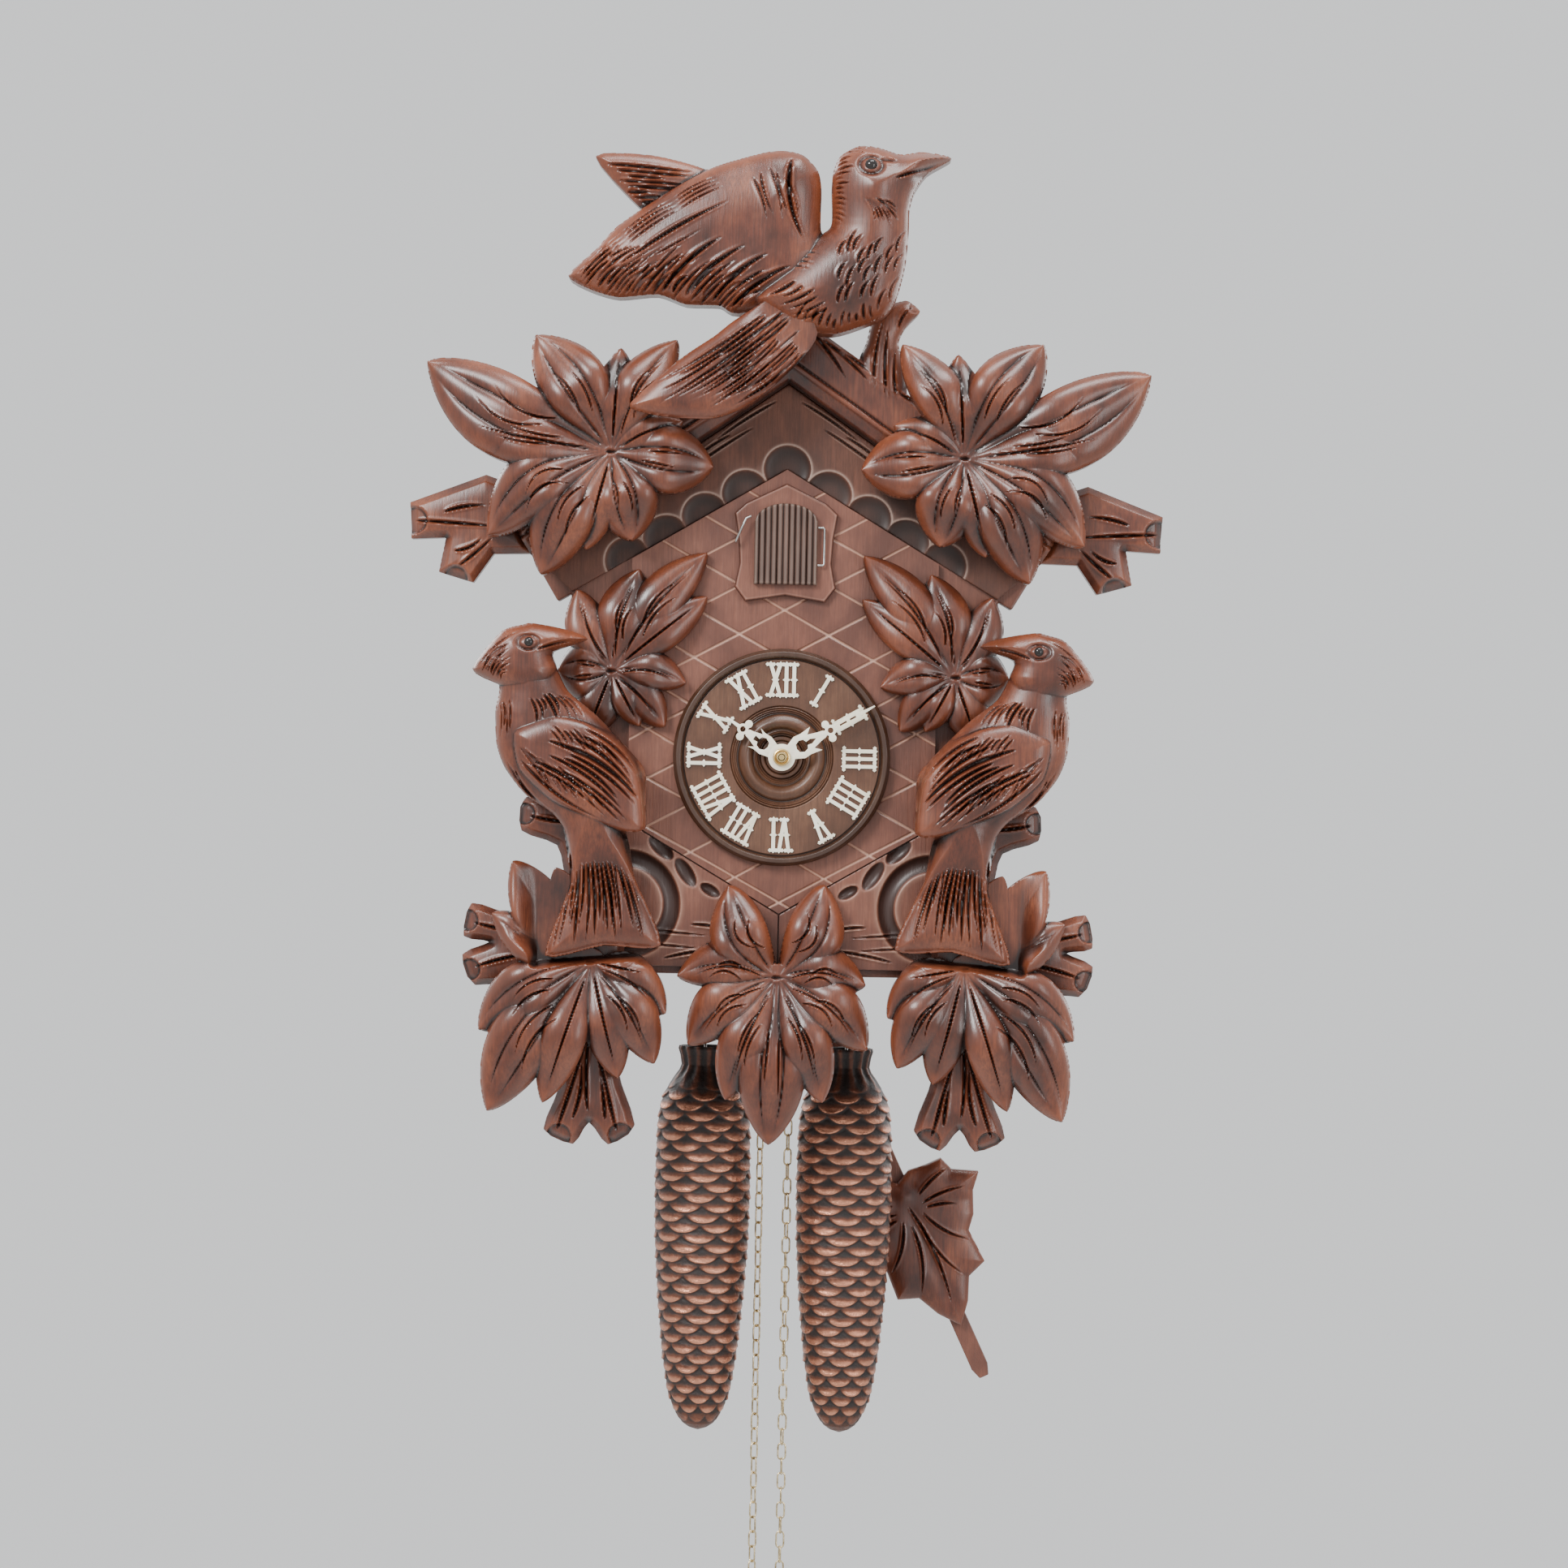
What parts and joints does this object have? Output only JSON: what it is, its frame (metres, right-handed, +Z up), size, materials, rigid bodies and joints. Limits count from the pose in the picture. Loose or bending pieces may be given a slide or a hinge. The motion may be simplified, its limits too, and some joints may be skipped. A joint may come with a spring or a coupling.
{
  "type": "cuckoo clock",
  "caption": "Carved wooden wall clock with a cuckoo behind a small door, leaf and bird carvings, a round dial, pine-cone weights on chains and a leaf pendulum",
  "frame": {"origin": "where the wall hook bears in the back board's keyhole, in the wall plane", "axes": "+Z up, -Y out of the wall towards the viewer, +X to the viewer's right"},
  "size_m": [0.392, 0.189, 0.7708],
  "materials": {
    "carved_wood": "stained and waxed, satin",
    "panel_wood": "stained, fine vertical grain, satin",
    "case_wood": "stained, satin",
    "dial_wood": "turned, stained, satin",
    "ivory_plastic": "bone-coloured",
    "brass": "polished",
    "steel_wire": "drawn wire",
    "cone_iron": "bronzed paint, rubbed highlights",
    "bellows_leather": "thin kid leather"
  },
  "bodies": {
    "case": {"back_board": "case_wood", "side_panel_left": "case_wood", "side_panel_right": "case_wood", "bottom_board": "case_wood", "roof_left": "case_wood", "roof_right": "case_wood", "front_board": "panel_wood", "lattice_panel": "panel_wood", "gable_frame": "carved_wood", "top_bird": "carved_wood", "upper_leaf_left": "carved_wood", "upper_leaf_right": "carved_wood", "upper_branch_left": "carved_wood", "upper_branch_right": "carved_wood", "middle_leaf_left": "carved_wood", "middle_leaf_right": "carved_wood", "side_bird_left": "carved_wood", "side_bird_right": "carved_wood", "lower_branch_left": "carved_wood", "lower_branch_right": "carved_wood", "lower_leaf_left": "carved_wood", "lower_leaf_right": "carved_wood", "bottom_leaf": "carved_wood", "door_plaque": "panel_wood", "dial": "dial_wood", "movement_front_plate": "brass", "movement_back_plate": "brass", "cuckoo_rail": "case_wood", "whistle_left": "case_wood", "whistle_right": "case_wood", "gong_coil": "steel_wire"},
    "rear_cover": {"rear_cover": "case_wood"},
    "cuckoo_door": {"cuckoo_door": "case_wood", "door_hinge_wire": "steel_wire"},
    "door_latch": {"door_latch": "steel_wire"},
    "cuckoo": {"cuckoo_bird": "carved_wood"},
    "minute_hand": {"minute_hand": "ivory_plastic", "hand_nut": "brass"},
    "hour_hand": {"hour_hand": "ivory_plastic", "hour_wheel": "brass"},
    "going_weight": {"going_weight": "cone_iron", "going_weight_chain": "brass"},
    "going_pull_chain": {"going_free_chain": "brass", "going_chain_ring": "brass"},
    "going_chain_wheel": {"going_chain_wheel": "brass"},
    "centre_wheel": {"centre_wheel": "brass"},
    "strike_weight": {"strike_weight": "cone_iron", "strike_weight_chain": "brass"},
    "strike_pull_chain": {"strike_free_chain": "brass", "strike_chain_ring": "brass"},
    "strike_chain_wheel": {"strike_chain_wheel": "brass"},
    "strike_pin_wheel": {"strike_pin_wheel": "brass"},
    "escape_wheel": {"escape_wheel": "brass"},
    "leader": {"pendulum_leader": "steel_wire", "verge": "steel_wire"},
    "pendulum": {"pendulum_rod": "carved_wood"},
    "bob": {"pendulum_bob": "carved_wood"},
    "bellows_left": {"bellows_left": "bellows_leather"},
    "bellows_right": {"bellows_right": "bellows_leather"},
    "gong_hammer": {"gong_hammer": "steel_wire"}
  },
  "joints": [
    {"name": "rear_cover_swing", "type": "hinge", "parent": "case", "child": "rear_cover", "pos_m": [0.104, 0, -0.165], "axis": [0, 0, -1], "range_deg": [0, 100]},
    {"name": "cuckoo_slide", "type": "slide", "parent": "case", "child": "cuckoo", "axis": [0, -1, 0], "range_m": [0, 0.05]},
    {"name": "door_swing", "type": "hinge", "parent": "case", "child": "cuckoo_door", "pos_m": [0.02, -0.1483, -0.03], "axis": [0, 0, 1], "range_deg": [0, 110]},
    {"name": "door_latch_turn", "type": "hinge", "parent": "case", "child": "door_latch", "pos_m": [-0.026, -0.1483, -0.028], "axis": [0, -1, 0], "range_deg": [0, 60]},
    {"name": "minute_hand_turn", "type": "hinge", "parent": "case", "child": "minute_hand", "pos_m": [0, -0.1546, -0.14], "axis": [0, 1, 0], "continuous": true},
    {"name": "hour_hand_turn", "type": "hinge", "parent": "case", "child": "hour_hand", "pos_m": [0, -0.1516, -0.14], "axis": [0, 1, 0], "continuous": true},
    {"name": "going_weight_drop", "type": "slide", "parent": "case", "child": "going_weight", "axis": [0, 0, -1], "range_m": [0, 0.11]},
    {"name": "going_chain_rise", "type": "slide", "parent": "case", "child": "going_pull_chain", "axis": [0, 0, 1], "range_m": [0, 0.11]},
    {"name": "going_chain_wheel_turn", "type": "hinge", "parent": "case", "child": "going_chain_wheel", "pos_m": [0.02265, -0.078, -0.168], "axis": [0, 1, 0], "range_deg": [0, 420]},
    {"name": "centre_wheel_turn", "type": "hinge", "parent": "case", "child": "centre_wheel", "pos_m": [0, -0.078, -0.14], "axis": [0, -1, 0], "range_deg": [0, 2080]},
    {"name": "strike_weight_drop", "type": "slide", "parent": "case", "child": "strike_weight", "axis": [0, 0, -1], "range_m": [0, 0.11]},
    {"name": "strike_chain_rise", "type": "slide", "parent": "case", "child": "strike_pull_chain", "axis": [0, 0, 1], "range_m": [0, 0.11]},
    {"name": "strike_chain_wheel_turn", "type": "hinge", "parent": "case", "child": "strike_chain_wheel", "pos_m": [-0.02265, -0.078, -0.168], "axis": [0, -1, 0], "range_deg": [0, 420]},
    {"name": "strike_pin_wheel_turn", "type": "hinge", "parent": "case", "child": "strike_pin_wheel", "pos_m": [-0.0476, -0.078, -0.14205], "axis": [0, 1, 0], "range_deg": [0, 2080]},
    {"name": "escape_wheel_turn", "type": "hinge", "parent": "case", "child": "escape_wheel", "pos_m": [0, -0.059, -0.118], "axis": [0, 1, 0], "continuous": true},
    {"name": "leader_swing", "type": "hinge", "parent": "case", "child": "leader", "pos_m": [0, -0.027, -0.1], "axis": [0, 1, 0], "range_deg": [-5, 5]},
    {"name": "pendulum_swing", "type": "hinge", "parent": "leader", "child": "pendulum", "pos_m": [0, -0.032, -0.226], "axis": [0, 1, 0], "range_deg": [0, 50.4]},
    {"name": "bob_slide", "type": "slide", "parent": "pendulum", "child": "bob", "axis": [0.4258, 0, -0.9048], "range_m": [-0.02, 0.03]},
    {"name": "bellows_left_lift", "type": "hinge", "parent": "case", "child": "bellows_left", "pos_m": [-0.083, -0.018, -0.0897], "axis": [-1, 0, 0], "range_deg": [0, 12]},
    {"name": "bellows_right_lift", "type": "hinge", "parent": "case", "child": "bellows_right", "pos_m": [0.083, -0.018, -0.0897], "axis": [-1, 0, 0], "range_deg": [0, 12]},
    {"name": "hammer_swing", "type": "hinge", "parent": "case", "child": "gong_hammer", "pos_m": [0.052, -0.014, -0.106], "axis": [0, -1, 0], "range_deg": [0, 20]}
  ],
  "couplings": [
    {"joint": "door_swing", "follows": "cuckoo_slide", "rad_per_m": 38},
    {"joint": "hour_hand_turn", "follows": "minute_hand_turn", "ratio": 0.083333},
    {"joint": "going_chain_rise", "follows": "going_weight_drop", "ratio": 1},
    {"joint": "going_chain_wheel_turn", "follows": "going_weight_drop", "rad_per_m": 65.574},
    {"joint": "centre_wheel_turn", "follows": "going_weight_drop", "rad_per_m": 327.87},
    {"joint": "strike_chain_rise", "follows": "strike_weight_drop", "ratio": 1},
    {"joint": "strike_chain_wheel_turn", "follows": "strike_weight_drop", "rad_per_m": 65.574},
    {"joint": "strike_pin_wheel_turn", "follows": "strike_weight_drop", "rad_per_m": 327.87}
  ]
}
